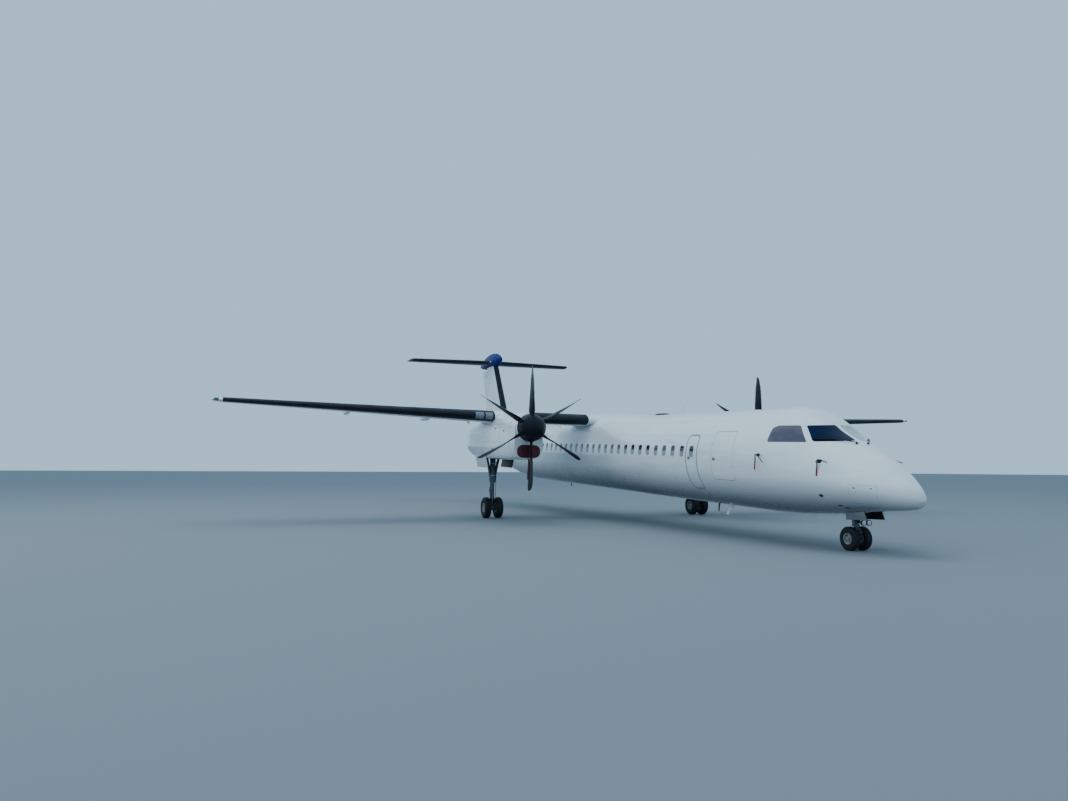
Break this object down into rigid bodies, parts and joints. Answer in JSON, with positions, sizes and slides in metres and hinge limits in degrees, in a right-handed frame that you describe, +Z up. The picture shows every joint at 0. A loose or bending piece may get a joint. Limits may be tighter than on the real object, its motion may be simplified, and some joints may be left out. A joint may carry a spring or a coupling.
{
  "type": "turboprop airliner",
  "caption": "High-wing T-tail turboprop airliner parked on twin-wheel gear, with feathered paddle propellers, long nacelles, stair door, flaps and double-hinged rudder.",
  "frame": {"origin": "on the ground under the middle of the aircraft's overall box, midway between the wing tips", "axes": "+X forward to the nose, +Y to port, +Z up; the fuselage stands 2 degrees nose-down"},
  "size_m": [32.6189, 28.42, 8.2937],
  "materials": {
    "airframe_paint": "gloss white enamel",
    "blue_paint": "gloss deep blue enamel",
    "cockpit_glass": "dark coated glass",
    "shaded_glass": "glass with a pale sun shade behind it",
    "propeller_composite": "satin charcoal paint",
    "gear_steel": "satin grey enamel, weathered",
    "wheel_rim": "light grey enamel",
    "tyre_rubber": "matt black rubber",
    "cover_fabric": "red coated fabric over foam",
    "engine_metal": "bare metal",
    "door_dark": "dark satin paint"
  },
  "bodies": {
    "airframe": {"fuselage": "airframe_paint", "radome": "airframe_paint", "windshield_left": "cockpit_glass", "windshield_right": "cockpit_glass", "side_window_left": "shaded_glass", "side_window_right": "shaded_glass", "emergency_exit": "airframe_paint", "service_door": "airframe_paint", "aft_passenger_door": "airframe_paint", "aft_baggage_door": "airframe_paint", "wing_fuselage_fairing": "airframe_paint", "wing_center": "airframe_paint", "wing_outer_left": "airframe_paint", "wing_outer_right": "airframe_paint", "nacelle_left": "airframe_paint", "nacelle_right": "airframe_paint", "engine_left": "engine_metal", "engine_right": "engine_metal", "intake_cover_left": "cover_fabric", "intake_cover_right": "cover_fabric", "main_gear_leg_left": "gear_steel", "main_gear_leg_right": "gear_steel", "nose_gear_leg": "gear_steel", "nose_gear_door_left": "door_dark", "nose_gear_door_right": "door_dark", "stabilizer": "airframe_paint", "bullet_fairing": "blue_paint", "fin": "airframe_paint"},
    "stair_door": {"passenger_door": "airframe_paint"},
    "baggage_door": {"forward_baggage_door": "airframe_paint"},
    "propeller_disc_left": {"propeller_left": "propeller_composite", "spinner_left": "propeller_composite"},
    "propeller_disc_right": {"propeller_right": "propeller_composite", "spinner_right": "propeller_composite"},
    "main_wheels_left": {"main_left_tyre_left": "tyre_rubber", "main_left_tyre_right": "tyre_rubber", "main_left_rim_left": "wheel_rim", "main_left_rim_right": "wheel_rim"},
    "main_wheels_right": {"main_right_tyre_left": "tyre_rubber", "main_right_tyre_right": "tyre_rubber", "main_right_rim_left": "wheel_rim", "main_right_rim_right": "wheel_rim"},
    "nose_fork": {"nose_gear_fork": "gear_steel"},
    "nose_wheels": {"nose_tyre_left": "tyre_rubber", "nose_tyre_right": "tyre_rubber", "nose_rim_left": "wheel_rim", "nose_rim_right": "wheel_rim"},
    "flap_inner_left": {"flap_inner_left": "airframe_paint"},
    "flap_inner_right": {"flap_inner_right": "airframe_paint"},
    "flap_outer_left": {"flap_outer_left": "airframe_paint"},
    "flap_outer_right": {"flap_outer_right": "airframe_paint"},
    "aileron_left": {"aileron_left": "airframe_paint"},
    "aileron_right": {"aileron_right": "airframe_paint"},
    "elevator_left": {"elevator_left": "airframe_paint"},
    "elevator_right": {"elevator_right": "airframe_paint"},
    "fore_rudder": {"fore_rudder": "airframe_paint"},
    "trailing_rudder": {"trailing_rudder": "airframe_paint"}
  },
  "joints": [
    {"name": "stair_door_hinge", "type": "hinge", "parent": "airframe", "child": "stair_door", "pos_m": [11.5058, 1.00166, 1.15934], "axis": [-0.9994, 0, 0.0349], "range_deg": [0, 120]},
    {"name": "baggage_door_hinge", "type": "hinge", "parent": "airframe", "child": "baggage_door", "pos_m": [10.96497, -1.15921, 2.86425], "axis": [-0.9994, 0, 0.0349], "range_deg": [0, 95]},
    {"name": "propeller_left_spin", "type": "hinge", "parent": "airframe", "child": "propeller_disc_left", "pos_m": [4.65179, 4.4, 3.16977], "axis": [0.9994, 0, -0.0349], "continuous": true},
    {"name": "propeller_right_spin", "type": "hinge", "parent": "airframe", "child": "propeller_disc_right", "pos_m": [4.65179, -4.4, 3.16977], "axis": [0.9994, 0, -0.0349], "continuous": true},
    {"name": "main_wheels_left_spin", "type": "hinge", "parent": "airframe", "child": "main_wheels_left", "pos_m": [0.39704, 4.4, 0.38594], "axis": [0, 1, 0], "continuous": true},
    {"name": "main_wheels_right_spin", "type": "hinge", "parent": "airframe", "child": "main_wheels_right", "pos_m": [0.39704, -4.4, 0.38594], "axis": [0, 1, 0], "continuous": true},
    {"name": "nose_steering", "type": "hinge", "parent": "airframe", "child": "nose_fork", "pos_m": [14.34165, 0, 0.27462], "axis": [0.0349, 0, 0.9994], "range_deg": [-60, 60]},
    {"name": "nose_wheels_spin", "type": "hinge", "parent": "nose_fork", "child": "nose_wheels", "pos_m": [14.34165, 0, 0.27462], "axis": [0, 1, 0], "continuous": true},
    {"name": "flap_outer_left_hinge", "type": "hinge", "parent": "airframe", "child": "flap_outer_left", "pos_m": [0.56604, 7.585, 3.56579], "axis": [-0.0734, -0.9963, -0.0438], "range_deg": [0, 35]},
    {"name": "flap_outer_right_hinge", "type": "hinge", "parent": "airframe", "child": "flap_outer_right", "pos_m": [0.56604, -7.585, 3.56579], "axis": [0.0734, -0.9963, 0.0438], "range_deg": [0, 35]},
    {"name": "flap_inner_left_hinge", "type": "hinge", "parent": "airframe", "child": "flap_inner_left", "pos_m": [0.3817, 2.595, 3.42571], "axis": [0.0058, -0.9999, -0.0094], "range_deg": [0, 35]},
    {"name": "flap_inner_right_hinge", "type": "hinge", "parent": "airframe", "child": "flap_inner_right", "pos_m": [0.3817, -2.595, 3.42571], "axis": [-0.0058, -0.9999, 0.0094], "range_deg": [0, 35]},
    {"name": "aileron_left_hinge", "type": "hinge", "parent": "airframe", "child": "aileron_left", "pos_m": [0.83826, 11.995, 3.94758], "axis": [-0.0785, -0.9964, -0.0331], "range_deg": [-20, 20]},
    {"name": "aileron_right_hinge", "type": "hinge", "parent": "airframe", "child": "aileron_right", "pos_m": [0.83826, -11.995, 3.94758], "axis": [0.0785, -0.9964, 0.0331], "range_deg": [-20, 20]},
    {"name": "elevator_left_hinge", "type": "hinge", "parent": "airframe", "child": "elevator_left", "pos_m": [-14.66641, 2.445, 7.79178], "axis": [0.0207, -0.9998, -0.0007], "range_deg": [-25, 20]},
    {"name": "elevator_right_hinge", "type": "hinge", "parent": "airframe", "child": "elevator_right", "pos_m": [-14.66641, -2.445, 7.79178], "axis": [-0.0207, -0.9998, 0.0007], "range_deg": [-25, 20]},
    {"name": "fore_rudder_hinge", "type": "hinge", "parent": "airframe", "child": "fore_rudder", "pos_m": [-13.87937, 0, 5.84813], "axis": [-0.3729, 0, 0.9279], "range_deg": [-18, 18]},
    {"name": "trailing_rudder_hinge", "type": "hinge", "parent": "fore_rudder", "child": "trailing_rudder", "pos_m": [-14.56451, 0, 5.87205], "axis": [-0.3667, 0, 0.9303], "range_deg": [-18, 18]}
  ],
  "couplings": [
    {"joint": "flap_outer_right_hinge", "follows": "flap_outer_left_hinge", "ratio": 1},
    {"joint": "flap_inner_left_hinge", "follows": "flap_outer_left_hinge", "ratio": 1},
    {"joint": "flap_inner_right_hinge", "follows": "flap_outer_left_hinge", "ratio": 1},
    {"joint": "aileron_right_hinge", "follows": "aileron_left_hinge", "ratio": -1},
    {"joint": "elevator_right_hinge", "follows": "elevator_left_hinge", "ratio": 1},
    {"joint": "trailing_rudder_hinge", "follows": "fore_rudder_hinge", "ratio": 1}
  ]
}
